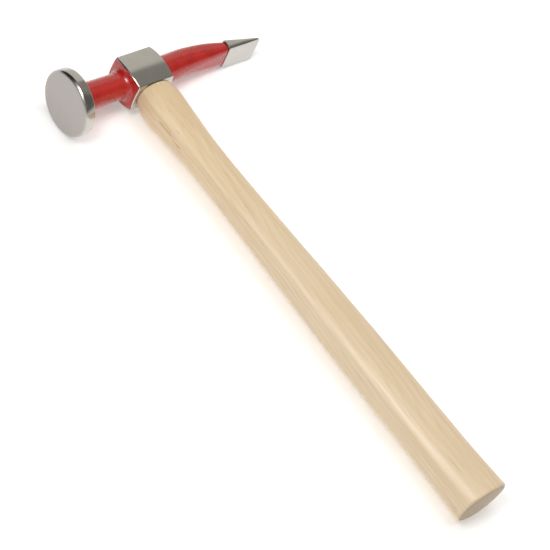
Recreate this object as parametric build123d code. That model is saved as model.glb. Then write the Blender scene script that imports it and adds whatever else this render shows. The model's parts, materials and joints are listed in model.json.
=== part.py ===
from build123d import *
from math import asin, atan2, copysign, cos, degrees, hypot, pi, sin, sqrt
import os

# Cross-peen panel hammer, lying on its side on a bench. Millimetres.
#
# The pieces are modelled square to the head: the origin is the middle of the eye block, +X runs
# down the handle to its butt, -Y is the way the round striking face looks, +Y is the way the
# peen points, and +Z is the upper cheek. lying_place() then turns and lifts everything together.

# Eye block: the boxy middle of the head
BLOCK_HEIGHT = 25.0          # along the handle
BLOCK_LENGTH = 25.2          # from the neck side to the peen side
BLOCK_EDGE_WIDTH = 19.7      # across the cheeks at their ends
BLOCK_WIDTH = 24.9           # across the cheeks at their crowns
BEVEL_HEIGHT = 0.8           # bevel between each cheek and the underside, measured along the cheek
BEVEL_WIDTH = 1.4            # and how far it comes in at the underside
FRONT_DOME_RADIUS = 44.0     # the neck side of the block is turned to a shallow dome
FRONT_DOME_APEX = 15.1       # from the middle of the block

# Striking disc and neck, turned about the Y axis
FACE_RADIUS = 20.0
FACE_DISTANCE = 54.6         # from the middle of the block to the striking face
FACE_THICKNESS = 7.2
FRONT_EDGE = 2.5             # rounding of the rim around the striking face
BACK_EDGE = 0.7              # and of the rim around the disc's back
NECK_RADIUS_AT_DISC = 8.4
NECK_RADIUS_AT_BLOCK = 7.9
DISC_COVE = 2.0              # hollow fillet between the disc and the neck
BLOCK_COVE = 4.0             # hollow fillet between the neck and the block

# Peen arm: distance along Y, top, underside, half width, corner radius as a share of the half height
ARM_STATIONS = [
    (BLOCK_LENGTH / 2 - 1.0, -8.5, 8.5, 8.3, 0.96),
    (21.0, -8.8, 7.8, 8.2, 0.96),
    (31.0, -8.7, 6.7, 8.1, 0.92),
    (41.0, -7.3, 6.1, 8.0, 0.84),
    (51.0, -4.9, 5.9, 7.9, 0.76),
    (62.0, -0.7, 5.6, 7.9, 0.72),
]

# Peen: a ground wedge, its edge across the handle
PEEN_START = 61.0
PEEN_END = 84.3
PEEN_TOP = -1.4              # at its start
PEEN_UNDERSIDE = 6.2         # at its start
PEEN_EDGE_UNDERSIDE = 6.7    # at its edge
PEEN_EDGE_THICKNESS = 0.8
PEEN_WIDTH = 18.2            # at its start
PEEN_EDGE_WIDTH = 19.1
PEEN_BULGE = 0.5             # how far its top curves out between start and edge

# Eye: an oval hole that narrows to a waist, so that the spread tenon can't pull out
EYE_BOTTOM = (18.8, 14.4)    # length along Y and width along Z at the underside
EYE_WAIST = (17.4, 13.0)
EYE_TOP = (19.6, 15.2)
WAIST_POSITION = 3.0         # along X, from the middle of the block

# Handle: distance from the shoulder, width, thickness, squareness of the oval
HANDLE_STATIONS = [
    (0.0, 22.2, 19.2, 2.4),
    (4.0, 24.2, 21.5, 2.4),
    (9.5, 25.9, 23.1, 2.4),
    (24.0, 24.8, 21.9, 2.3),
    (43.0, 22.7, 19.8, 2.3),
    (68.0, 22.0, 19.0, 2.4),
    (103.0, 23.3, 19.6, 2.5),
    (148.0, 25.7, 20.8, 2.6),
    (198.0, 27.6, 21.8, 2.8),
    (248.0, 28.8, 22.4, 2.7),
    (278.0, 30.2, 24.0, 2.5),
    (304.0, 32.6, 27.6, 2.25),
]
SECTION_POINTS = 24
HANDLE_LEAN = 0.0115         # the handle sets off towards the peen by this much of its length
SHOULDER_OFFSET = 1.2        # the shoulder was rasped by hand, and starts nearer the upper cheek
SHOULDER_OFFSET_END = 9.5    # distance from the shoulder where that has faded out
BUTT_DOME_RADIUS = 98.0
BUTT_EDGE = 1.4              # rounding of the butt's rim

# Wedges, driven into the top of the tenon
SAW_KERF = 1.0
SAW_DEPTH = 20.0
WOOD_WEDGE_THICKNESS = 3.4
WOOD_WEDGE_TIP = 1.0
WOOD_WEDGE_DEPTH = 16.5
STEEL_WEDGE_THICKNESS = 2.2
STEEL_WEDGE_TIP = 0.5
STEEL_WEDGE_DEPTH = 13.0
STEEL_WEDGE_WIDTH = 10.0
STEEL_WEDGE_SPACING = 8.0
BARB_DEPTH = 0.25
BARB_STEP = 0.3              # length of each barb's undercut
BARBS = 3

BLOCK_TOP = -BLOCK_HEIGHT / 2
SHOULDER = BLOCK_HEIGHT / 2
REACH = 30.0                 # half size of shapes that only trim others, well past the head's sides


def oval(plane, length, width, squareness=2.0):
    """A closed oval on a plane: a superellipse, 2.0 being a plain ellipse."""
    points = []
    for i in range(SECTION_POINTS):
        c = cos(2 * pi * i / SECTION_POINTS)
        s = sin(2 * pi * i / SECTION_POINTS)
        along = length / 2 * copysign(abs(c) ** (2 / squareness), c)
        across = width / 2 * copysign(abs(s) ** (2 / squareness), s)
        points.append((along, across))
    return plane * make_face(Spline(*points, periodic=True))


def cheek_crown_radius():
    rise = (BLOCK_WIDTH - BLOCK_EDGE_WIDTH) / 2
    return ((BLOCK_HEIGHT / 2) ** 2 + rise ** 2) / (2 * rise)


def cheek_height(x):
    """Height of the crowned cheek above the middle of the head, at x along the handle."""
    radius = cheek_crown_radius()
    return BLOCK_WIDTH / 2 - radius + sqrt(radius ** 2 - x ** 2)


def eye_block():
    """The block: crowned cheeks, a bevel along the underside, a domed neck side."""
    bevel_start = SHOULDER - BEVEL_HEIGHT
    edge = BLOCK_EDGE_WIDTH / 2 - BEVEL_WIDTH

    def cheek(side):
        middle = (BLOCK_TOP + bevel_start) / 2
        return ThreePointArc(
            (BLOCK_TOP, side * BLOCK_EDGE_WIDTH / 2),
            (middle, side * cheek_height(middle)),
            (bevel_start, side * cheek_height(bevel_start)),
        )

    upper, lower = cheek(1), cheek(-1)
    outline = upper + lower
    outline += Polyline(upper @ 1, (SHOULDER, edge), (SHOULDER, -edge), lower @ 1)
    outline += Line(upper @ 0, lower @ 0)
    across = Plane(origin=(0, 0, 0), x_dir=(1, 0, 0), z_dir=(0, -1, 0))
    block = extrude(across * make_face(outline.edges()), REACH, both=True)
    span = 2 * BLOCK_LENGTH
    block &= Pos(0, -span / 2 + BLOCK_LENGTH / 2, 0) * Box(2 * REACH, span, 2 * REACH)
    return block & Pos(0, FRONT_DOME_RADIUS - FRONT_DOME_APEX, 0) * Sphere(FRONT_DOME_RADIUS)


def disc_and_neck():
    """Striking disc and neck in one turned shape, with a cove at each end of the neck."""
    face_rim = FACE_RADIUS - FRONT_EDGE
    back_rim = FACE_RADIUS - BACK_EDGE
    front = -FACE_DISTANCE
    back = front + FACE_THICKNESS
    disc_cove_start = (NECK_RADIUS_AT_DISC + DISC_COVE, back)
    disc_cove_end = (NECK_RADIUS_AT_DISC, back + DISC_COVE)
    cove_radius = NECK_RADIUS_AT_BLOCK + BLOCK_COVE
    dome = -FRONT_DOME_APEX + cove_radius ** 2 / (2 * FRONT_DOME_RADIUS)
    block_cove_start = (NECK_RADIUS_AT_BLOCK, dome - BLOCK_COVE)
    block_cove_end = (cove_radius, dome)
    profile = Line((0, front), (face_rim, front))
    profile += RadiusArc((face_rim, front), (FACE_RADIUS, front + FRONT_EDGE), -FRONT_EDGE)
    profile += Line((FACE_RADIUS, front + FRONT_EDGE), (FACE_RADIUS, back - BACK_EDGE))
    profile += RadiusArc((FACE_RADIUS, back - BACK_EDGE), (back_rim, back), -BACK_EDGE)
    profile += Line((back_rim, back), disc_cove_start)
    profile += RadiusArc(disc_cove_start, disc_cove_end, DISC_COVE)
    profile += Line(disc_cove_end, block_cove_start)
    profile += RadiusArc(block_cove_start, block_cove_end, BLOCK_COVE)
    profile += Polyline(block_cove_end, (cove_radius, 0), (0, 0), (0, front))
    return revolve(make_face(profile.edges()), Axis.Y)


def peen_arm():
    """The curved arm: nearly round at the block, a flat bar with soft corners at the peen."""
    sections = []
    for distance, top, underside, half_width, roundness in ARM_STATIONS:
        half_height = (underside - top) / 2
        plane = Plane(origin=((top + underside) / 2, distance, 0), x_dir=(1, 0, 0), z_dir=(0, -1, 0))
        corner = roundness * min(half_height, half_width)
        sections.append(plane * RectangleRounded(2 * half_height, 2 * half_width, corner))
    return loft(sections)


def peen():
    """The ground wedge at the end of the arm, standing a little proud of it."""
    edge_top = PEEN_EDGE_UNDERSIDE - PEEN_EDGE_THICKNESS
    middle = ((PEEN_TOP + edge_top) / 2 - PEEN_BULGE, (PEEN_START + PEEN_END) / 2)
    outline = Polyline(
        (PEEN_TOP, PEEN_START),
        (PEEN_UNDERSIDE, PEEN_START),
        (PEEN_EDGE_UNDERSIDE, PEEN_END),
        (edge_top, PEEN_END),
    )
    outline += ThreePointArc((edge_top, PEEN_END), middle, (PEEN_TOP, PEEN_START))
    wedge = extrude(make_face(outline.edges()), REACH, both=True)
    plan = Polyline(
        (PEEN_START, -PEEN_WIDTH / 2),
        (PEEN_END, -PEEN_EDGE_WIDTH / 2),
        (PEEN_END, PEEN_EDGE_WIDTH / 2),
        (PEEN_START, PEEN_WIDTH / 2),
        close=True,
    )
    return wedge & extrude(Plane.YZ * make_face(plan), REACH, both=True)


def eye():
    """The room inside the eye, which the handle's tenon and its wedges fill."""
    levels = [(SHOULDER, EYE_BOTTOM), (WAIST_POSITION, EYE_WAIST), (BLOCK_TOP, EYE_TOP)]
    faces = []
    for x, (length, width) in levels:
        plane = Plane(origin=(x, 0, 0), x_dir=(0, 1, 0), z_dir=(-1, 0, 0))
        faces.append(plane * Ellipse(length / 2, width / 2))
    lower = loft([faces[0], faces[1]], ruled=True)
    upper = loft([faces[1], faces[2]], ruled=True)
    return lower + upper


def wedge_bar(thickness, tip, depth, width):
    """A plain wedge, thick end at the top of the eye: depth along X, thickness along Y."""
    outline = Polyline(
        (BLOCK_TOP, -thickness / 2),
        (BLOCK_TOP + depth, -tip / 2),
        (BLOCK_TOP + depth, tip / 2),
        (BLOCK_TOP, thickness / 2),
        close=True,
    )
    return extrude(make_face(outline), width / 2, both=True)


def barbed_wedge():
    """One steel wedge: small steps up each flat side keep it from working out."""
    step = STEEL_WEDGE_DEPTH / (BARBS + 1)
    slope = (STEEL_WEDGE_THICKNESS - STEEL_WEDGE_TIP) / 2 / STEEL_WEDGE_DEPTH
    side = [(BLOCK_TOP, STEEL_WEDGE_THICKNESS / 2)]
    for i in range(1, BARBS + 1):
        depth = i * step
        half = STEEL_WEDGE_THICKNESS / 2 - depth * slope
        side.append((BLOCK_TOP + depth - BARB_STEP, half - BARB_DEPTH))
        side.append((BLOCK_TOP + depth, half))
    side.append((BLOCK_TOP + STEEL_WEDGE_DEPTH, STEEL_WEDGE_TIP / 2))
    other = [(x, -y) for x, y in reversed(side)]
    return extrude(make_face(Polyline(*side, *other, close=True)), STEEL_WEDGE_WIDTH / 2, both=True)


def steel_wedges():
    """Two steel wedges side by side, across the wooden one."""
    return [Pos(0, side * STEEL_WEDGE_SPACING / 2, 0) * barbed_wedge() for side in (-1, 1)]


def wooden_wedge_bar():
    return wedge_bar(WOOD_WEDGE_THICKNESS, WOOD_WEDGE_TIP, WOOD_WEDGE_DEPTH, 2 * EYE_TOP[0])


def wooden_wedge():
    """The wooden wedge along the eye, trimmed to the eye and notched by the steel wedges."""
    wedge = (Rot(90, 0, 0) * wooden_wedge_bar()) & eye()
    for steel in steel_wedges():
        wedge -= steel
    return wedge


def domed_butt(grip, butt):
    """Round the end of the grip to a shallow dome and take its sharp rim off."""
    keep = Pos(butt.X - BUTT_DOME_RADIUS, butt.Y, butt.Z) * Sphere(BUTT_DOME_RADIUS)
    rest = 2 * (butt.X - BUTT_DOME_RADIUS / 2)
    keep += Box(rest, 2 * REACH, 2 * REACH)
    grip &= keep
    dome = grip.faces().sort_by(Axis.X)[-1]
    return fillet(dome.edges(), BUTT_EDGE)


def handle():
    """The whole handle: shaped grip, domed butt, and a sawn tenon that fills the eye."""
    sections = []
    for distance, width, thickness, squareness in HANDLE_STATIONS:
        aside = SHOULDER_OFFSET * max(0, 1 - distance / SHOULDER_OFFSET_END)
        middle = (SHOULDER + distance, distance * HANDLE_LEAN, aside)
        plane = Plane(origin=middle, x_dir=(0, 1, 0), z_dir=(1, 0, 0))
        sections.append(oval(plane, width, thickness, squareness))
    length = HANDLE_STATIONS[-1][0]
    butt = Vector(SHOULDER + length, length * HANDLE_LEAN, 0)
    tenon = eye()
    tenon -= Rot(90, 0, 0) * wedge_bar(SAW_KERF, SAW_KERF, SAW_DEPTH, 2 * EYE_TOP[0])
    tenon -= Rot(90, 0, 0) * wooden_wedge_bar()
    for steel in steel_wedges():
        tenon -= steel
    return domed_butt(loft(sections), butt) + tenon


def head():
    """The head is one forging: disc, neck, eye block, arm and peen, with the eye through it."""
    return eye_block() + disc_and_neck() + peen_arm() + peen() - eye()


def lying_place(head_piece, handle_piece):
    """The move that lays the hammer on its side, on the disc's rim, the peen and the butt."""
    height = FACE_RADIUS - BACK_EDGE - PEEN_EDGE_WIDTH / 2
    span = FACE_DISTANCE - FACE_THICKNESS + BACK_EDGE + PEEN_END
    roll = degrees(atan2(height, span) + asin(BACK_EDGE / hypot(height, span)))
    rolled = Rot(-roll, 0, 0)
    drop = (rolled * handle_piece).bounding_box().min.Z - (rolled * head_piece).bounding_box().min.Z
    pitched = Rot(0, degrees(atan2(drop, SHOULDER + HANDLE_STATIONS[-1][0])), 0) * rolled
    box = Compound(children=[pitched * head_piece, pitched * handle_piece]).bounding_box()
    return Pos(-box.center().X, -box.center().Y, -box.min.Z) * pitched


def main():
    pieces = {
        "head": [head()],
        "handle": [handle()],
        "wooden_wedge": [wooden_wedge()],
        "steel_wedges": steel_wedges(),
    }
    place = lying_place(pieces["head"][0], pieces["handle"][0])
    os.makedirs("parts", exist_ok=True)
    for name, solids in pieces.items():
        placed = [place * solid for solid in solids]
        export_step(placed[0] if len(placed) == 1 else Compound(children=placed), f"parts/{name}.step")


main()
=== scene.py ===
import json
from bisect import bisect_right
from math import atan2, copysign, cos, pi, radians, sin, sqrt

import bmesh
import bpy
from mathutils import Matrix, Vector


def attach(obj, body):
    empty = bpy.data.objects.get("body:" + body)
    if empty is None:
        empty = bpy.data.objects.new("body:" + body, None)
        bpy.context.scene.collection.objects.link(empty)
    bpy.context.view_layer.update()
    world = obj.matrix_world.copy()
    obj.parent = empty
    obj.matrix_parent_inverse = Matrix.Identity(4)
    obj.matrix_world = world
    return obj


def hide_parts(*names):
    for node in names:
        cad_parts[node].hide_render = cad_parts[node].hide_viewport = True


# Looks of the cross-peen panel hammer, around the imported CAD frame.
#
# The pieces are built in millimetres in the hammer's own axes: the origin is the middle of the eye
# block, +X runs down the handle, -Y is the way the striking face looks, +Y the way the peen points
# and +Z is the upper cheek. lying_place() reads from the frame how that lies on the floor. It moves
# the points of every mesh there, and the materials use it the other way round.

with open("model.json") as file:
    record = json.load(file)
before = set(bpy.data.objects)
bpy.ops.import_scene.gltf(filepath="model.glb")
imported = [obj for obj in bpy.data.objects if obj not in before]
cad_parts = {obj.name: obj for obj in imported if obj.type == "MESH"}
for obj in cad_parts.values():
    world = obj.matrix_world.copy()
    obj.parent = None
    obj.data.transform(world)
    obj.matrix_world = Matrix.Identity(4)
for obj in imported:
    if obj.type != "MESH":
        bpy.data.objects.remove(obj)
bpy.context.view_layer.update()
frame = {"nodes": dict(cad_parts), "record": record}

MM = 0.001

# The head's sizes, in millimetres, as the CAD has them
BLOCK_HALF_HEIGHT = 12.5
BLOCK_HALF_LENGTH = 12.6
BLOCK_EDGE_HALF_WIDTH = 9.85
BLOCK_HALF_WIDTH = 12.45
BEVEL_HEIGHT = 0.8
BEVEL_WIDTH = 1.4
DOME_RADIUS = 44.0
DOME_APEX = 15.1
FACE_RADIUS = 20.0
FACE_DISTANCE = 54.6
FACE_THICKNESS = 7.2
FRONT_EDGE = 2.5
BACK_EDGE = 0.7
FACE_CROWN = 0.12            # the polished face is a little lower towards its rim
RIM_CROWN = 0.1              # and its side is a little barrelled
NECK_RADIUS_AT_DISC = 8.4
NECK_RADIUS_AT_BLOCK = 7.9
DISC_COVE = 2.0
BLOCK_COVE = 4.0
ARM_COVE = 1.0
EDGE_ROUND = 0.5             # the edges of the eye block
BEVEL_ROUND = 0.6            # and those of the bevel under each cheek

# Arm: distance along Y, top, underside, half width, corner radius as a share of the half height
ARM_STATIONS = [
    (BLOCK_HALF_LENGTH - 1.0, -8.5, 8.5, 8.3, 0.96),
    (21.0, -8.8, 7.8, 8.2, 0.96),
    (31.0, -8.7, 6.7, 8.1, 0.92),
    (41.0, -7.3, 6.1, 8.0, 0.84),
    (51.0, -4.9, 5.9, 7.9, 0.76),
    (62.0, -0.7, 5.6, 7.9, 0.72),
]
PEEN_START = 61.0
PEEN_END = 84.3
PEEN_TOP = -1.4
PEEN_UNDERSIDE = 6.2
PEEN_EDGE_UNDERSIDE = 6.7
PEEN_EDGE_THICKNESS = 0.8
PEEN_HALF_WIDTH = 9.1
PEEN_EDGE_HALF_WIDTH = 9.55
PEEN_BULGE = 0.5
PEEN_ROUND = 2.0             # the long edges are dressed round, less towards the thin end
PEEN_CORNER = 2.2            # and so are the two corners of its edge
PEEN_TIP_ROUND = 0.3         # rounding across its two ends
PEEN_TIP_LIFT = 0.2          # its underside rolls up a little at the edge
PEEN_ROUND_LIMIT = 0.42      # the most that PEEN_ROUND may be of the peen's thickness there
ENAMEL_GAP = 0.45            # bare steel between the enamel and the ground peen, coloured near-black there as painted shade in the step
ENAMEL_THICKNESS = 0.2

# Eye: place along X, half length along Y, half width along Z
EYE_LEVELS = [(BLOCK_HALF_HEIGHT, 9.4, 7.2), (3.0, 8.7, 6.5), (-BLOCK_HALF_HEIGHT, 9.8, 7.6)]
EYE_BROKEN_EDGE = 0.4        # the eye's edge at the top of the head
TENON_GROWTH = -0.02         # keeps the tenon's skin just inside the eye

# Handle: distance from the shoulder, width, thickness, squareness of the oval
HANDLE_STATIONS = [
    (0.0, 22.2, 19.2, 2.4),
    (4.0, 24.2, 21.5, 2.4),
    (9.5, 25.9, 23.1, 2.4),
    (24.0, 24.8, 21.9, 2.3),
    (43.0, 22.7, 19.8, 2.3),
    (68.0, 22.0, 19.0, 2.4),
    (103.0, 23.3, 19.6, 2.5),
    (148.0, 25.7, 20.8, 2.6),
    (198.0, 27.6, 21.8, 2.8),
    (248.0, 28.8, 22.4, 2.7),
    (278.0, 30.2, 24.0, 2.5),
    (304.0, 32.6, 27.6, 2.25),
]
HANDLE_LENGTH = HANDLE_STATIONS[-1][0]
HANDLE_LEAN = 0.0115
SHOULDER_OFFSET = 1.2        # the shoulder sits a little towards the upper cheek
SHOULDER_OFFSET_END = 9.5    # and the grip is back on the middle from here
SHOULDER_EDGE = 0.6
BUTT_DOME_RADIUS = 98.0
BUTT_EDGE = 1.4
BUTT_RUN_OUT = 2.6           # the last of the grip before the butt's rounding

# Mesh density
CORNER_POINTS = 9            # on each corner of a head ring
SIDE_POINTS = 15             # on each side of a head ring, between its corners
GRIP_POINTS = 112            # around the handle
ROUND_STEPS = 5              # across the rounding of the disc's back; the front has twice as many
EDGE_STEPS = 3               # across the roundings of the block and the peen
SMOOTH_ANGLE = radians(28)   # an edge that turns more than this stays sharp


def lying_place(record):
    """How the hammer's own axes lie in the frame, from the record's mounts."""
    mounts = {m["name"]: m for m in record["mounts"]}
    peen_way = -Vector(mounts["striking_face"]["axis"]).normalized()
    handle_way = -Vector(mounts["head_top"]["axis"])
    handle_way = (handle_way - peen_way * handle_way.dot(peen_way)).normalized()
    cheek_way = handle_way.cross(peen_way)
    place = Matrix((handle_way, peen_way, cheek_way)).transposed().to_4x4()
    place.translation = Vector(mounts["striking_face"]["pos_m"]) + peen_way * FACE_DISTANCE * MM
    return place


PLACE = lying_place(frame["record"])


# ---- Meshes -------------------------------------------------------------------------------------

def along(stations, at):
    """Smooth values between stations, whose first value is the distance: a cubic Hermite curve."""
    distances = [s[0] for s in stations]
    i = min(max(bisect_right(distances, at) - 1, 0), len(stations) - 2)

    def slope(k, value):
        before, after = stations[max(k - 1, 0)], stations[min(k + 1, len(stations) - 1)]
        return (after[value] - before[value]) / (after[0] - before[0])

    near, far = stations[i], stations[i + 1]
    span = far[0] - near[0]
    t = (at - near[0]) / span
    values = []
    for v in range(1, len(near)):
        rise = far[v] - near[v]
        start, end = slope(i, v) * span, slope(i + 1, v) * span
        values.append(near[v] + t * start
                      + t * t * (3 * rise - 2 * start - end)
                      + t ** 3 * (start + end - 2 * rise))
    return values


def steps(count):
    """count + 1 even steps from 0 to 1."""
    return [i / count for i in range(count + 1)]


def quarter_turn(count):
    """The sine and cosine at count + 1 even steps of a quarter turn."""
    return [(sin(s * pi / 2), cos(s * pi / 2)) for s in steps(count)]


def between(a, b, share):
    """A ring part way from ring a to ring b."""
    return [tuple(p + (q - p) * share for p, q in zip(m, n)) for m, n in zip(a, b)]


def rounded_corner(before, corner, after, radius, count):
    """count points on the arc that rounds a corner of a path, in the plane."""
    corner = Vector(corner)
    way_in = (corner - Vector(before)).normalized()
    way_out = (Vector(after) - corner).normalized()
    turn = atan2(way_in.cross(way_out), way_in.dot(way_out))
    start = corner - way_in * radius * abs(sin(turn / 2) / cos(turn / 2))
    side = copysign(1, turn)
    centre = start + Vector((-way_in.y, way_in.x)) * radius * side
    points = []
    for share in steps(count - 1):
        spoke = Matrix.Rotation(turn * share, 2) @ (start - centre)
        points.append(tuple(centre + spoke))
    return points


def ring_of(corners, side_path, y):
    """A head ring: four corners as lists of (x, z), and SIDE_POINTS on the side after each."""
    flat = []
    for k, corner in enumerate(corners):
        flat += corner
        a, b = corner[-1], corners[(k + 1) % 4][0]
        for i in range(1, SIDE_POINTS + 1):
            flat.append(side_path(k, a, b, i / (SIDE_POINTS + 1)))
    return [(x, y(x, z), z) for x, z in flat]


def straight(k, a, b, share):
    """Side path for ring_of(): the straight line from a to b."""
    return (a[0] + (b[0] - a[0]) * share, a[1] + (b[1] - a[1]) * share)


def circle_ring(radius, y):
    """A round ring whose corners lie in the same directions as the eye block's."""
    corner = atan2(BLOCK_EDGE_HALF_WIDTH, BLOCK_HALF_HEIGHT)
    half_turn = radians(9)       # half the arc that stands for one of the block's corners
    corners = []
    for middle in (corner, pi - corner, pi + corner, 2 * pi - corner):
        angles = [middle + half_turn * (2 * s - 1) for s in steps(CORNER_POINTS - 1)]
        corners.append([(radius * cos(a), radius * sin(a)) for a in angles])

    def arc(k, a, b, share):
        start, end = atan2(a[1], a[0]), atan2(b[1], b[0])
        turn = (end - start) % (2 * pi)
        return (radius * cos(start + turn * share), radius * sin(start + turn * share))

    return ring_of(corners, arc, lambda x, z: y)


def box_ring(low, high, half_width, radius, y):
    """A rounded rectangle from x low to x high, 2 half_width wide."""
    corners = []
    for x, z in ((high, half_width), (low, half_width), (low, -half_width), (high, -half_width)):
        along_x = (x - copysign(1, x - (low + high) / 2), z)
        along_z = (x, z - copysign(1, z))
        first, last = (along_z, along_x) if (x == high) == (z > 0) else (along_x, along_z)
        corners.append(rounded_corner(first, (x, z), last, radius, CORNER_POINTS))
    return ring_of(corners, straight, lambda x, z: y)


def cheek_height(x):
    """Height of the crowned cheek above the middle of the head."""
    rise = BLOCK_HALF_WIDTH - BLOCK_EDGE_HALF_WIDTH
    radius = (BLOCK_HALF_HEIGHT ** 2 + rise ** 2) / (2 * rise)
    return BLOCK_HALF_WIDTH - radius + sqrt(radius ** 2 - x ** 2)


def block_ring(inset, y):
    """Outline of the eye block, drawn in by inset, with y as a function of x and z."""
    bottom, top = BLOCK_HALF_HEIGHT - inset, inset - BLOCK_HALF_HEIGHT
    shoulder = BLOCK_HALF_HEIGHT - BEVEL_HEIGHT
    bevel_in = BLOCK_EDGE_HALF_WIDTH - BEVEL_WIDTH - inset
    bevel_out = cheek_height(shoulder) - inset
    edge = BLOCK_EDGE_HALF_WIDTH - inset
    half = CORNER_POINTS // 2
    bevel_start, bevel_end = (bottom, bevel_in), (shoulder, bevel_out)
    cheek_middle = (0, cheek_height(0) - inset)
    lower = rounded_corner((bottom, 0), bevel_start, bevel_end, BEVEL_ROUND, half)
    upper = rounded_corner(bevel_start, bevel_end, cheek_middle, BEVEL_ROUND, half)
    middle = straight(0, lower[-1], upper[0], 0.5)
    bevel = lower + [middle] + upper
    near_top = (top + 1, cheek_height(top + 1) - inset)
    crest = rounded_corner(near_top, (top, edge), (top, 0), EDGE_ROUND, CORNER_POINTS)
    mirrored = [[(x, -z) for x, z in reversed(points)] for points in (crest, bevel)]

    def side(k, a, b, share):
        x, z = straight(k, a, b, share)
        if k % 2 == 1:
            return (x, z)
        crown = cheek_height(x) - cheek_height(a[0]) * (1 - share) - cheek_height(b[0]) * share
        return (x, z + copysign(crown, z))

    return ring_of([bevel, crest, *mirrored], side, y)


def dome(x, z):
    """The turned dome of the block's neck side."""
    return -DOME_APEX + DOME_RADIUS - sqrt(DOME_RADIUS ** 2 - x * x - z * z)


def disc_rings():
    """The striking disc, from the middle of its face round to the cove of the neck."""
    edge = FACE_RADIUS - RIM_CROWN
    front, back = -FACE_DISTANCE, -FACE_DISTANCE + FACE_THICKNESS
    rim = edge - FRONT_EDGE
    crown = FACE_CROWN / rim ** 2
    rings = [circle_ring(s * rim, front + crown * (s * rim) ** 2) for s in steps(8)[1:]]
    rise = FRONT_EDGE - FACE_CROWN
    for sine, cosine in quarter_turn(2 * ROUND_STEPS)[1:]:
        y = front + FACE_CROWN + rise * (1 - cosine)
        rings.append(circle_ring(rim + FRONT_EDGE * sine, y))
    for s in steps(16)[1:-1]:
        y = front + FRONT_EDGE + s * (FACE_THICKNESS - FRONT_EDGE - BACK_EDGE)
        rings.append(circle_ring(edge + 4 * RIM_CROWN * s * (1 - s), y))
    rim = edge - BACK_EDGE
    for sine, cosine in quarter_turn(ROUND_STEPS):
        rings.append(circle_ring(rim + BACK_EDGE * cosine, back - BACK_EDGE * (1 - sine)))
    start = NECK_RADIUS_AT_DISC + DISC_COVE
    rings += [circle_ring(rim + s * (start - rim), back) for s in steps(4)[1:-1]]
    return rings


def neck_rings():
    """The neck, from the disc's back to the edge of the block's dome."""
    back = -FACE_DISTANCE + FACE_THICKNESS
    rings = []
    for sine, cosine in quarter_turn(8):
        radius = NECK_RADIUS_AT_DISC + DISC_COVE * (1 - sine)
        rings.append(circle_ring(radius, back + DISC_COVE * (1 - cosine)))
    outer = NECK_RADIUS_AT_BLOCK + BLOCK_COVE
    end = -DOME_APEX + outer ** 2 / (2 * DOME_RADIUS)
    start = end - BLOCK_COVE
    run = start - (back + DISC_COVE)
    for s in steps(14)[1:-1]:
        radius = NECK_RADIUS_AT_DISC + s * (NECK_RADIUS_AT_BLOCK - NECK_RADIUS_AT_DISC)
        rings.append(circle_ring(radius, back + DISC_COVE + s * run))
    for sine, cosine in quarter_turn(12):
        radius = NECK_RADIUS_AT_BLOCK + BLOCK_COVE * (1 - cosine)
        rings.append(circle_ring(radius, start + BLOCK_COVE * sine))
    last, edge = rings[-1], block_ring(EDGE_ROUND, dome)
    for s in steps(8)[1:]:
        rings.append([(x, dome(x, z) if s == 1 else y + (dome(x, z) - y) * min(1, 3 * s), z)
                      for x, y, z in between(last, edge, s)])
    return rings


def block_rings():
    """The sides of the eye block, between its rounded ends."""
    rings = []
    for sine, cosine in quarter_turn(EDGE_STEPS)[1:]:
        sunk = EDGE_ROUND * (1 - cosine)
        rings.append(block_ring(EDGE_ROUND * (1 - sine), lambda x, z: dome(x, z) + sunk))
    front = rings[-1]
    back = block_ring(0, lambda x, z: BLOCK_HALF_LENGTH - EDGE_ROUND)
    rings += [between(front, back, s) for s in steps(18)[1:]]
    for sine, cosine in quarter_turn(EDGE_STEPS)[1:]:
        y = BLOCK_HALF_LENGTH - EDGE_ROUND * (1 - sine)
        rings.append(block_ring(EDGE_ROUND * (1 - cosine), lambda x, z: y))
    return rings


def arm_ring(distance, grow=0.0):
    """The arm's section at a distance along Y, grown outward."""
    top, underside, half_width, roundness = along(ARM_STATIONS, distance)
    radius = roundness * min((underside - top) / 2, half_width) + grow
    return box_ring(top - grow, underside + grow, half_width + grow, radius, distance)


def arm_rings():
    """The back of the block, the arm's cove and the arm."""
    root = arm_ring(BLOCK_HALF_LENGTH, ARM_COVE)
    edge = block_ring(EDGE_ROUND, lambda x, z: BLOCK_HALF_LENGTH)
    rings = [between(edge, root, s) for s in steps(3)[1:-1]]
    for sine, cosine in quarter_turn(6):
        distance = BLOCK_HALF_LENGTH + ARM_COVE * (1 - cosine)
        rings.append(arm_ring(distance, ARM_COVE * (1 - sine)))
    start, end = BLOCK_HALF_LENGTH + ARM_COVE, PEEN_START - ENAMEL_GAP
    rings += [arm_ring(start + s * (end - start)) for s in steps(44)[1:]]
    rings.append(arm_ring(PEEN_START))
    return rings


def peen_ring(share, inset, y):
    """The peen's section part way to its edge, drawn in by inset, and set at y."""
    edge_top = PEEN_EDGE_UNDERSIDE - PEEN_EDGE_THICKNESS
    bulge = 4 * PEEN_BULGE * share * (1 - share)
    top = PEEN_TOP + share * (edge_top - PEEN_TOP) - bulge + inset
    underside = PEEN_UNDERSIDE + share * (PEEN_EDGE_UNDERSIDE - PEEN_UNDERSIDE) - inset
    half_width = PEEN_HALF_WIDTH + share * (PEEN_EDGE_HALF_WIDTH - PEEN_HALF_WIDTH) - inset
    into_corner = max(0, y - (PEEN_END - PEEN_CORNER))
    half_width -= PEEN_CORNER - sqrt(max(0, PEEN_CORNER ** 2 - into_corner ** 2))
    underside -= PEEN_TIP_LIFT * (into_corner / PEEN_CORNER) ** 2
    radius = min(PEEN_ROUND, PEEN_ROUND_LIMIT * (underside - top))
    return box_ring(top, underside, half_width, radius, y)


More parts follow.
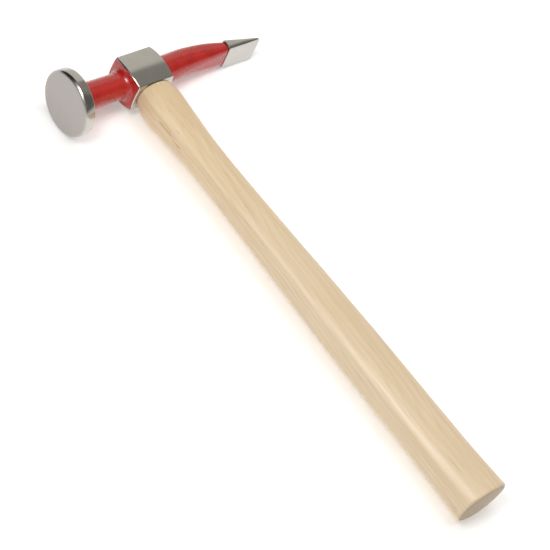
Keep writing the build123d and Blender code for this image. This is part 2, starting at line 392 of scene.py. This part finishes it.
def peen_rings():
    """The ground wedge: its shoulder, standing proud of the arm, its sides and its edge."""
    rings = []
    for sine, cosine in quarter_turn(EDGE_STEPS):
        y = PEEN_START + PEEN_TIP_ROUND * (1 - cosine)
        rings.append(peen_ring(0, PEEN_TIP_ROUND * (1 - sine), y))
    start, end = PEEN_START + PEEN_TIP_ROUND, PEEN_END - PEEN_TIP_ROUND
    corner = (end - PEEN_CORNER - start) / (end - start)
    shares = [corner * s for s in steps(22)[1:]] + [corner + (1 - corner) * s for s in steps(5)[1:]]
    rings += [peen_ring(s, 0, start + s * (end - start)) for s in shares]
    for sine, cosine in quarter_turn(EDGE_STEPS)[1:]:
        y = end + PEEN_TIP_ROUND * sine
        rings.append(peen_ring(1, PEEN_TIP_ROUND * (1 - cosine), y))
    return rings


def skin(rings):
    """The points of the rings, and the four-sided faces between them."""
    count = len(rings[0])
    faces = []
    for r in range(len(rings) - 1):
        for i in range(count):
            j = (i + 1) % count
            faces.append((r * count + i, r * count + j, (r + 1) * count + j, (r + 1) * count + i))
    return [p for ring in rings for p in ring], faces


def lofted(name, rings):
    """A closed object through the rings, with a flat fan at each end."""
    points, faces = skin(rings)
    count = len(rings[0])
    for ring, start in ((rings[0], 0), (rings[-1], (len(rings) - 1) * count)):
        points.append(sum((Vector(p) for p in ring), Vector()) / count)
        hub = len(points) - 1
        for i in range(count):
            j = (i + 1) % count
            faces.append((start + i, start + j, hub))
    return mesh_object(name, points, faces)


def mesh_object(name, points, faces):
    """An object whose points are given in the hammer's own axes, lying in its place."""
    mesh = bpy.data.meshes.new(name)
    mesh.from_pydata([PLACE @ (Vector(p) * MM) for p in points], [], faces)
    piece = bpy.data.objects.new(name, mesh)
    bpy.context.scene.collection.objects.link(piece)
    select_only(piece)
    bpy.ops.object.mode_set(mode="EDIT")
    bpy.ops.mesh.select_all(action="SELECT")
    bpy.ops.mesh.normals_make_consistent(inside=False)
    bpy.ops.object.mode_set(mode="OBJECT")
    return piece


def select_only(piece):
    bpy.ops.object.select_all(action="DESELECT")
    piece.select_set(True)
    bpy.context.view_layer.objects.active = piece


def apply_modifier(piece, kind, **settings):
    modifier = piece.modifiers.new(kind.lower(), kind)
    for key, value in settings.items():
        setattr(modifier, key, value)
    select_only(piece)
    bpy.ops.object.modifier_apply(modifier=modifier.name)


def cut(piece, cutter):
    """Takes cutter's shape out of piece and removes the cutter."""
    apply_modifier(piece, "BOOLEAN", operation="DIFFERENCE", solver="EXACT", object=cutter)
    bpy.data.objects.remove(cutter)


def finished(piece, material):
    """Gives a piece its material and smooth shading, and lets it ride on the one body."""
    piece.data.materials.clear()
    piece.data.materials.append(material)
    select_only(piece)
    bpy.ops.object.shade_smooth_by_angle(angle=SMOOTH_ANGLE)
    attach(piece, "root")


def eye_oval(level, grow=0.0, x=None):
    """A ring of the eye, around X, grown outward, and set at x."""
    place, half_length, half_width = level
    at = place if x is None else x
    angles = [2 * pi * i / GRIP_POINTS for i in range(GRIP_POINTS)]
    return [(at, (half_length + grow) * cos(a), (half_width + grow) * sin(a)) for a in angles]


def eye_cutter():
    """The eye's hole, a little longer than the block is high, with a broken edge at the top."""
    bottom, waist, top = EYE_LEVELS
    rings = [
        eye_oval(bottom, 0.0, bottom[0] + 1),
        eye_oval(bottom),
        eye_oval(waist),
        eye_oval(top, 0.0, top[0] + EYE_BROKEN_EDGE),
        eye_oval(top, EYE_BROKEN_EDGE),
        eye_oval(top, EYE_BROKEN_EDGE + 1, top[0] - 1),
    ]
    return lofted("eye_cutter", rings)


def head_forging(material):
    """The bare steel, from the disc to the peen, with the eye through it."""
    rings = disc_rings() + neck_rings() + block_rings() + arm_rings() + peen_rings()
    forging = lofted("head_forging", rings)
    cut(forging, eye_cutter())
    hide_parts("head")
    finished(forging, material)


def enamel_coat(name, rings, material):
    """A skin of enamel on part of the forging: half its thickness stands out of the steel."""
    coat = mesh_object(name, *skin(rings))
    apply_modifier(coat, "SOLIDIFY", thickness=ENAMEL_THICKNESS * MM, offset=0.0)
    finished(coat, material)


def grip_section(distance, inset=0.0, x=None):
    """A ring of the handle: a superellipse, drawn in by inset, at a distance from the shoulder."""
    width, thickness, squareness = along(HANDLE_STATIONS, distance)
    middle_y = distance * HANDLE_LEAN
    middle_z = SHOULDER_OFFSET * max(0, 1 - distance / SHOULDER_OFFSET_END)
    at = BLOCK_HALF_HEIGHT + distance if x is None else x
    ring = []
    for i in range(GRIP_POINTS):
        c, s = cos(2 * pi * i / GRIP_POINTS), sin(2 * pi * i / GRIP_POINTS)
        y = (width / 2 - inset) * copysign(abs(c) ** (2 / squareness), c)
        z = (thickness / 2 - inset) * copysign(abs(s) ** (2 / squareness), s)
        ring.append((at, middle_y + y, middle_z + z))
    return ring


def butt_point(x, y, z):
    """Moves a point of the last section onto the butt's shallow dome."""
    middle = HANDLE_LENGTH * HANDLE_LEAN
    radius = sqrt((y - middle) ** 2 + z * z)
    end = BLOCK_HALF_HEIGHT + HANDLE_LENGTH
    return (x + end - BUTT_DOME_RADIUS + sqrt(BUTT_DOME_RADIUS ** 2 - radius ** 2), y, z)


def handle_rings():
    """The tenon's top and sides, the shoulder, the grip and the butt."""
    bottom, waist, top = EYE_LEVELS
    hub = [(top[0], 0, 0)] * GRIP_POINTS
    rings = [between(hub, eye_oval(top, TENON_GROWTH), s) for s in (0.05, 0.35, 0.7, 1)]
    rings += [eye_oval(waist, TENON_GROWTH), eye_oval(bottom, TENON_GROWTH)]
    rings.append(grip_section(0, SHOULDER_EDGE))
    for sine, cosine in quarter_turn(4)[1:]:
        rings.append(grip_section(SHOULDER_EDGE * (1 - cosine), SHOULDER_EDGE * (1 - sine)))
    run = HANDLE_LENGTH - BUTT_EDGE - BUTT_RUN_OUT - SHOULDER_EDGE
    rings += [grip_section(SHOULDER_EDGE + s * run) for s in steps(130)[1:]]
    last = grip_section(HANDLE_LENGTH, 0.0, 0.0)
    rim = [butt_point(-BUTT_EDGE, y, z) for _, y, z in last]
    rings.append(between(rings[-1], rim, 0.5))
    for sine, cosine in quarter_turn(6):
        ring = grip_section(HANDLE_LENGTH, BUTT_EDGE * (1 - cosine), 0.0)
        rings.append([butt_point(-BUTT_EDGE * (1 - sine), y, z) for _, y, z in ring])
    middle = [(0.0, HANDLE_LENGTH * HANDLE_LEAN, 0.0)] * GRIP_POINTS
    inner = grip_section(HANDLE_LENGTH, BUTT_EDGE, 0.0)
    for s in steps(8)[1:-1]:
        rings.append([butt_point(*p) for p in between(inner, middle, s)])
    return rings


def wedge_cutter(node):
    """A copy of a wedge that stands out of the top of the eye, so that it cuts all the way."""
    weld, at_top = 0.002 * MM, 0.02 * MM
    mesh = frame["nodes"][node].data.copy()
    handle_way = PLACE.to_3x3().col[0]
    top = PLACE @ (Vector((-BLOCK_HALF_HEIGHT, 0, 0)) * MM)
    shape = bmesh.new()
    shape.from_mesh(mesh)
    bmesh.ops.remove_doubles(shape, verts=shape.verts, dist=weld)
    bmesh.ops.recalc_face_normals(shape, faces=shape.faces)
    for point in shape.verts:
        if (point.co - top).dot(handle_way) < at_top:
            point.co -= handle_way * MM
    shape.to_mesh(mesh)
    shape.free()
    cutter = bpy.data.objects.new(node + "_cutter", mesh)
    bpy.context.scene.collection.objects.link(cutter)
    return cutter


def hickory_handle(material):
    """The handle, with the wedges' places cut out of its tenon."""
    handle = lofted("hickory_handle", handle_rings())
    for node in ("wooden_wedge", "steel_wedges"):
        cut(handle, wedge_cutter(node))
    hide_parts("handle")
    finished(handle, material)


# ---- Materials ----------------------------------------------------------------------------------

class Surface:
    """Builds one node material. Its position is in the hammer's own axes, in millimetres."""

    def __init__(self, name, **constants):
        self.material = bpy.data.materials.new(name)
        self.material.use_nodes = True
        self.tree = self.material.node_tree
        self.shader = self.tree.nodes["Principled BSDF"]
        for key, value in constants.items():
            self.shader.inputs[key.replace("_", " ")].default_value = value
        coordinates = self.tree.nodes.new("ShaderNodeTexCoord")
        self.normal = coordinates.outputs["Normal"]
        offset = self.vector("SUBTRACT", coordinates.outputs["Object"], PLACE.translation)
        axes = [PLACE.col[k].to_3d() for k in range(3)]
        self.xyz = [self.vector("DOT_PRODUCT", offset, axis / MM) for axis in axes]
        self.position = self.join(*self.xyz)
        self.facing_end = self.math("ABSOLUTE", self.vector("DOT_PRODUCT", self.normal, axes[0]))

    def node(self, kind, inputs=(), **settings):
        node = self.tree.nodes.new("ShaderNode" + kind)
        for key, value in settings.items():
            setattr(node, key, value)
        for key, value in dict(inputs).items():
            if isinstance(value, bpy.types.NodeSocket):
                self.tree.links.new(value, node.inputs[key])
            else:
                node.inputs[key].default_value = value
        return node

    def vector(self, operation, a, b):
        node = self.node("VectorMath", {0: a, 1: b}, operation=operation)
        return node.outputs["Value" if operation == "DOT_PRODUCT" else "Vector"]

    def math(self, operation, a, b=0.5):
        return self.node("Math", {0: a, 1: b}, operation=operation).outputs[0]

    def sum(self, a, b):
        return self.math("ADD", a, b)

    def product(self, a, b):
        return self.math("MULTIPLY", a, b)

    def join(self, x, y, z):
        return self.node("CombineXYZ", {0: x, 1: y, 2: z}).outputs[0]

    def noise(self, scale, detail=4.0, roughness=0.55, at=None, distortion=0.0):
        """Noise with a scale per millimetre along each axis."""
        stretched = self.vector("MULTIPLY", at or self.position, scale)
        inputs = {"Vector": stretched, "Scale": 1.0, "Detail": detail, "Roughness": roughness}
        return self.node("TexNoise", {**inputs, "Distortion": distortion}).outputs["Fac"]

    def band(self, value, low, high, to_low=0.0, to_high=1.0):
        """value from low..high to to_low..to_high, clamped."""
        from_range = {"Value": value, "From Min": low, "From Max": high}
        to_range = {"To Min": to_low, "To Max": to_high}
        return self.node("MapRange", {**from_range, **to_range}, clamp=True).outputs[0]

    def blend(self, share, a, b, mode="MIX"):
        inputs = {"Fac": share, "Color1": a, "Color2": b}
        return self.node("MixRGB", inputs, blend_type=mode).outputs[0]

    def bump(self, height, distance, strength, normal=None):
        """Bump from a height of 0 to 1, which stands for distance in millimetres."""
        inputs = {"Height": height, "Distance": distance * MM, "Strength": strength}
        if normal:
            inputs["Normal"] = normal
        return self.node("Bump", inputs).outputs[0]

    def finish(self, **links):
        for key, value in links.items():
            self.tree.links.new(value, self.shader.inputs[key.replace("_", " ")])
        return self.material


def rgb(red, green, blue):
    """A colour given in sRGB display values from 0 to 255."""
    def linear(value):
        value /= 255
        return value / 12.92 if value <= 0.04045 else ((value + 0.055) / 1.055) ** 2.4
    return (linear(red), linear(green), linear(blue), 1.0)


def steel_material():
    """Polished forging steel: turned marks on the disc, straight grinding marks elsewhere, and
    painted shade on the striking face and in the step before the peen.
    """
    dull, bright = (0.54, 0.52, 0.485, 1), (0.59, 0.565, 0.535, 1)
    # face is a darker steel tint for the striking face: painted shade, standing for the shaded
    # floor in its reflection.
    # scale is the near-black used as painted shade in the step before the peen.
    face, scratch, scale = (0.405, 0.375, 0.36, 1), (0.45, 0.43, 0.40, 1), (0.10, 0.045, 0.03, 1)
    s = Surface("polished_steel", Metallic=1.0)
    x, y, z = s.xyz
    radius = s.math("SQRT", s.sum(s.product(x, x), s.product(z, z)))
    turned = s.noise((7.0, 0.4, 0.4), 3, at=s.join(radius, y, s.product(x, 0.02)))
    ground = s.noise((0.25, 9.0, 0.5), 3)
    on_disc = s.band(y, -46.0, -48.0)
    marks = s.sum(s.product(turned, on_disc),
                  s.product(ground, s.math("SUBTRACT", 1.0, on_disc)))
    cloud = s.noise((0.09, 0.09, 0.09), 3)
    smear = s.noise((0.5, 0.16, 0.3), 4, 0.6)
    tint = s.blend(s.band(cloud, 0.3, 0.7), dull, bright)
    # on_face paints that shade onto the striking face, and also makes the face rougher.
    on_face = s.band(y, -53.0, -54.4)
    tint = s.blend(on_face, tint, face)
    colour = s.blend(s.band(marks, 0.35, 0.65, 0.0, 0.12), tint, scratch)
    # The strip of steel before the peen gets the near-black scale colour: painted shade in the step
    # between enamel and peen.
    painted_step_shade = s.product(s.band(y, PEEN_START - ENAMEL_GAP - 0.3, PEEN_START - ENAMEL_GAP),
                    s.band(y, PEEN_START + 0.02, PEEN_START - 0.05))
    colour = s.blend(painted_step_shade, colour, scale)
    roughness = s.sum(s.band(smear, 0.3, 0.7, 0.13, 0.19), s.band(marks, 0.3, 0.7, 0.0, 0.04))
    roughness = s.sum(roughness, s.product(on_face, 0.15))
    roughness = s.sum(roughness, s.product(painted_step_shade, 0.4))
    normal = s.bump(marks, 0.004, 0.6)
    return s.finish(Base_Color=colour, Roughness=roughness, Normal=normal)


def enamel_material():
    """Gloss red enamel over the forging's uneven skin."""
    deep, light, pit = rgb(169, 28, 24), rgb(187, 36, 29), rgb(120, 18, 18)
    s = Surface("red_enamel", IOR=1.5, Coat_Weight=0.45, Coat_Roughness=0.03, Coat_IOR=1.6)
    cloud = s.noise((0.12, 0.12, 0.12), 3)
    colour = s.blend(s.band(cloud, 0.3, 0.7), deep, light)
    pits = s.noise((1.6, 1.6, 1.6), 2)
    colour = s.blend(s.band(pits, 0.68, 0.78, 0.0, 0.5), colour, pit)
    lumps = s.noise((0.22, 0.22, 0.22), 2, 0.5)
    peel = s.noise((1.3, 1.3, 1.3), 2, 0.5)
    normal = s.bump(lumps, 0.07, 0.35)
    normal = s.bump(peel, 0.006, 0.6, normal)
    roughness = s.band(cloud, 0.3, 0.7, 0.2, 0.32)
    return s.finish(Base_Color=colour, Roughness=roughness, Normal=normal,
                    Coat_Normal=normal)


def hickory_material():
    """Pale hickory under clear lacquer: growth rings cut at a slant, pores, darker end grain."""
    year_width = 3.1
    pale, paler, honey = rgb(225, 202, 168), rgb(235, 216, 186), rgb(213, 184, 145)
    ring_brown, pore_brown, fibre_brown = rgb(196, 162, 118), rgb(176, 138, 98), rgb(196, 167, 127)
    line_brown, end_brown = rgb(186, 143, 99), rgb(150, 124, 84)
    head_end_tint = (1.0, 0.965, 0.90, 1)
    s = Surface("lacquered_hickory", IOR=1.48, Coat_Weight=0.4, Coat_Roughness=0.38, Coat_IOR=1.5)
    x, y, z = s.xyz
    wander = s.noise((0.012, 0.05, 0.05), 2, 0.5)
    drift = s.product(s.math("SUBTRACT", wander, 0.5), 14.0)
    lean = s.product(x, 0.045)
    across = s.sum(s.sum(s.product(y, 0.8), s.product(z, 0.6)), lean)
    z_less_y = s.math("SUBTRACT", z, y)
    curve = s.product(s.product(z_less_y, z_less_y), 0.008)
    depth = s.sum(s.sum(across, curve), drift)
    year = s.math("FRACT", s.product(depth, 1 / year_width))
    early = s.band(year, 0.0, 0.42, 1.0, 0.0)
    late = s.band(year, 0.86, 1.0)
    strength = s.band(s.noise((0.008, 0.11, 0.11), 2), 0.35, 0.65, 0.25, 1.0)
    rings = s.product(s.math("MAXIMUM", early, late), strength)
    broad = s.noise((0.007, 0.13, 0.13), 3, 0.5)
    streak = s.noise((0.02, 0.7, 0.7), 4, 0.6)
    fibre = s.noise((0.05, 3.2, 3.2), 3, 0.6)
    pore = s.noise((0.045, 2.2, 2.2), 2, 0.5)
    base = s.blend(s.band(broad, 0.3, 0.7), pale, paler)
    base = s.blend(s.band(streak, 0.4, 0.75, 0.0, 0.45), base, honey)
    base = s.blend(s.product(rings, 0.24), base, ring_brown)
    pores = s.product(s.band(pore, 0.62, 0.72), s.math("MAXIMUM", rings, 0.15))
    base = s.blend(s.product(pores, 0.7), base, pore_brown)
    base = s.blend(s.band(fibre, 0.35, 0.65, 0.0, 0.14), base, fibre_brown)
    head_end = s.band(x, 150.0, 40.0)
    base = s.blend(head_end, base, head_end_tint, "MULTIPLY")
    lines = s.band(s.noise((0.008, 0.85, 0.85), 2, 0.4, distortion=0.15), 0.66, 0.72)
    where = s.band(s.noise((0.02, 0.06, 0.06), 2), 0.42, 0.58, 0.1, 0.8)
    lines = s.product(lines, s.product(where, s.band(y, -2.0, -8.0, 0.5, 1.0)))
    base = s.blend(lines, base, line_brown)
    end_grain = s.band(s.facing_end, 0.7, 0.97)
    base = s.blend(s.product(end_grain, 0.8), base, end_brown)
    relief = s.sum(s.product(fibre, 0.5), s.product(pores, -0.4))
    normal = s.bump(relief, 0.03, 0.5)
    roughness = s.band(streak, 0.3, 0.7, 0.42, 0.54)
    return s.finish(Base_Color=base, Roughness=roughness, Normal=normal)


def wedge_wood_material():
    """The wooden wedge's end grain, darker than the hickory."""
    brown, tan, dark = rgb(150, 112, 70), rgb(186, 148, 100), rgb(110, 78, 46)
    s = Surface("wedge_wood", IOR=1.45)
    fine = s.noise((0.6, 2.4, 2.4), 4, 0.6)
    rings = s.noise((0.1, 0.5, 3.0), 3)
    base = s.blend(s.band(rings, 0.35, 0.65), brown, tan)
    base = s.blend(s.band(fine, 0.45, 0.7, 0.0, 0.5), base, dark)
    roughness = s.band(fine, 0.3, 0.7, 0.5, 0.7)
    return s.finish(Base_Color=base, Roughness=roughness, Normal=s.bump(fine, 0.08, 0.6))


def wedge_steel_material():
    """Mild steel ground flush, with rust in its low spots."""
    dull, bright, rust_brown = (0.30, 0.29, 0.28, 1), (0.46, 0.45, 0.43, 1), rgb(112, 66, 40)
    s = Surface("wedge_steel")
    marks = s.noise((0.8, 5.0, 0.4), 4)
    rust = s.band(s.noise((0.35, 0.35, 0.35), 4, 0.6), 0.56, 0.68, 0.0, 0.8)
    colour = s.blend(s.band(marks, 0.35, 0.65), dull, bright)
    colour = s.blend(rust, colour, rust_brown)
    metallic = s.math("SUBTRACT", 1.0, rust)
    roughness = s.sum(s.band(marks, 0.3, 0.7, 0.28, 0.4), s.product(rust, 0.3))
    return s.finish(Base_Color=colour, Metallic=metallic, Roughness=roughness,
                    Normal=s.bump(marks, 0.03, 0.6))


def floor_material():
    """A plain, pale, matt floor that glows faintly."""
    s = Surface("studio_floor", Roughness=0.8, Specular_IOR_Level=0.1,
                Base_Color=(0.93, 0.93, 0.93, 1), Emission_Color=(1, 1, 1, 1),
                Emission_Strength=FLOOR_GLOW)
    return s.material


# ---- The hammer ---------------------------------------------------------------------------------

steel = steel_material()
enamel = enamel_material()
hickory = hickory_material()
wedge_materials = {"wooden_wedge": wedge_wood_material(), "steel_wedges": wedge_steel_material()}

head_forging(steel)
enamel_coat("enamel_neck", neck_rings()[2:], enamel)
enamel_coat("enamel_arm", arm_rings()[:-1], enamel)
hickory_handle(hickory)
for node, material in wedge_materials.items():
    frame["nodes"][node].data.materials.clear()
    frame["nodes"][node].data.materials.append(material)


# ---- Studio -------------------------------------------------------------------------------------

WALL_LIGHT = 0.74
DARK_SIDE_LIGHT = 0.32
DARK_CORNER_LIGHT = 0.15
HORIZON_LIGHT = 0.78
CAMERA_SIDE_LIGHT = 0.34
STUDIO_TINT = (1.0, 0.975, 0.90, 1.0)
BLACK_CARD = 0.08            # a black card beyond the striking face, above the top of the head
FLOOR_GLOW = 0.25            # the floor is a faint light table
FLOOR_HALF_SIDE = 15.0       # in metres

# Where each of those lights starts and ends, as the cosine of the angle from a direction
WALL_ABOVE_HEAD = (-0.22, -0.43)     # from the way down the handle
WALL_AT_PEEN = (0.1, 0.35)           # from the way of the peen
HORIZON = (0.08, 0.28)               # from straight up
CAMERA_SIDE = (-0.1, -0.5)           # from the way of the peen
DARK_CORNER = (0.2, 0.5)             # from the way down the handle
CARD_BELOW = (-0.5, -0.3)            # from the way down the handle
CARD_BESIDE = (0.05, 0.3)            # from the way of the peen

# What the lamps point at, and the camera, in the hammer's own axes
MID_GRIP = (300.0, 0.0, 0.0)
NECK = (0.0, -40.0, 0.0)
CAMERA_PLACE = (482.1, -624.2, 778.5)
CAMERA_BACK = (0.3199, -0.5861, 0.7444)
CAMERA_UP = (-0.7451, 0.3296, 0.5798)
SENSOR_WIDTH = 36.0
LENS = 124.4


def studio_floor():
    half = FLOOR_HALF_SIDE
    corners = [(-half, -half, 0), (half, -half, 0), (half, half, 0), (-half, half, 0)]
    mesh = bpy.data.meshes.new("floor")
    mesh.from_pydata(corners, [], [(0, 1, 2, 3)])
    mesh.materials.append(floor_material())
    floor = bpy.data.objects.new("floor", mesh)
    bpy.context.scene.collection.objects.link(floor)


def studio_world():
    """Soft light all round: a pale wall beyond the top of the hammer, and a darker side."""
    world = bpy.data.worlds.new("studio")
    bpy.context.scene.world = world
    world.use_nodes = True
    tree = world.node_tree
    coordinates = tree.nodes.new("ShaderNodeTexCoord").outputs["Generated"]

    def along_axis(axis):
        dot = tree.nodes.new("ShaderNodeVectorMath")
        dot.operation = "DOT_PRODUCT"
        tree.links.new(coordinates, dot.inputs[0])
        dot.inputs[1].default_value = axis
        return dot.outputs["Value"]

    def fade(value, start, end, level_start, level_end):
        ranged = tree.nodes.new("ShaderNodeMapRange")
        ranged.interpolation_type = "SMOOTHSTEP"
        tree.links.new(value, ranged.inputs["Value"])
        ranges = {"From Min": start, "From Max": end, "To Min": level_start, "To Max": level_end}
        for name, number in ranges.items():
            ranged.inputs[name].default_value = number
        return ranged.outputs[0]

    def combine(operation, a, b):
        node = tree.nodes.new("ShaderNodeMath")
        node.operation = operation
        tree.links.new(a, node.inputs[0])
        tree.links.new(b, node.inputs[1])
        return node.outputs[0]

    way = PLACE.to_3x3()
    down_handle, to_peen = along_axis(way.col[0]), along_axis(way.col[1])
    wall = combine("MULTIPLY", fade(down_handle, *WALL_ABOVE_HEAD, 0.0, WALL_LIGHT),
                   fade(to_peen, *WALL_AT_PEEN, 0.0, 1.0))
    horizon = fade(along_axis((0.0, 0.0, 1.0)), *HORIZON, HORIZON_LIGHT, 0.0)
    behind_camera = fade(to_peen, *CAMERA_SIDE, 0.0, CAMERA_SIDE_LIGHT)
    strength = fade(down_handle, *DARK_CORNER, DARK_SIDE_LIGHT, DARK_CORNER_LIGHT)
    for lit in (wall, horizon, behind_camera):
        strength = combine("MAXIMUM", strength, lit)
    beside_card = combine("MAXIMUM", fade(down_handle, *CARD_BELOW, BLACK_CARD, 1.0),
                          fade(to_peen, *CARD_BESIDE, BLACK_CARD, 1.0))
    strength = combine("MULTIPLY", strength, beside_card)
    tree.links.new(strength, tree.nodes["Background"].inputs["Strength"])
    tree.nodes["Background"].inputs["Color"].default_value = STUDIO_TINT


def soft_box(name, way, distance, size, power, target, glossy=True, diffuse=True):
    """A rectangular soft light, distance metres from target, the way that way points.

    Both are in the hammer's own axes. The light may be hidden from reflections or diffuse light.
    """
    light = bpy.data.lights.new(name, "AREA")
    light.shape = "RECTANGLE"
    light.size, light.size_y = size
    light.energy = power
    lamp = bpy.data.objects.new(name, light)
    bpy.context.scene.collection.objects.link(lamp)
    aim = PLACE @ (Vector(target) * MM)
    direction = (PLACE.to_3x3() @ Vector(way)).normalized()
    lamp.location = aim + direction * distance
    lamp.rotation_mode = "QUATERNION"
    lamp.rotation_quaternion = direction.to_track_quat("Z", "Y")
    lamp.visible_glossy = glossy
    lamp.visible_diffuse = diffuse


def studio_camera():
    """The main view: from above, on the striking face's side of the handle."""
    back = Vector(CAMERA_BACK).normalized()
    right = Vector(CAMERA_UP).cross(back).normalized()
    stance = Matrix((right, back.cross(right), back)).transposed().to_4x4()
    stance.translation = Vector(CAMERA_PLACE) * MM
    camera = bpy.data.objects.new("camera", bpy.data.cameras.new("camera"))
    bpy.context.scene.collection.objects.link(camera)
    camera.matrix_world = PLACE @ stance
    camera.data.sensor_width = SENSOR_WIDTH
    camera.data.lens = LENS
    bpy.context.scene.camera = camera


studio_floor()
studio_world()
soft_box("key", (-0.20, -0.56, 0.80), distance=1.0, size=(0.3, 0.3), power=3.4,
         target=MID_GRIP)
soft_box("sheen_card", (-0.15, -0.68, 0.72), distance=1.0, size=(0.45, 0.8), power=4.0,
         target=MID_GRIP, diffuse=False)
soft_box("overhead", (0.135, 0.12, 0.98), distance=1.2, size=(1.0, 1.2), power=7.8,
         target=NECK, glossy=False)
studio_camera()
bpy.context.scene.view_settings.view_transform = "Standard"
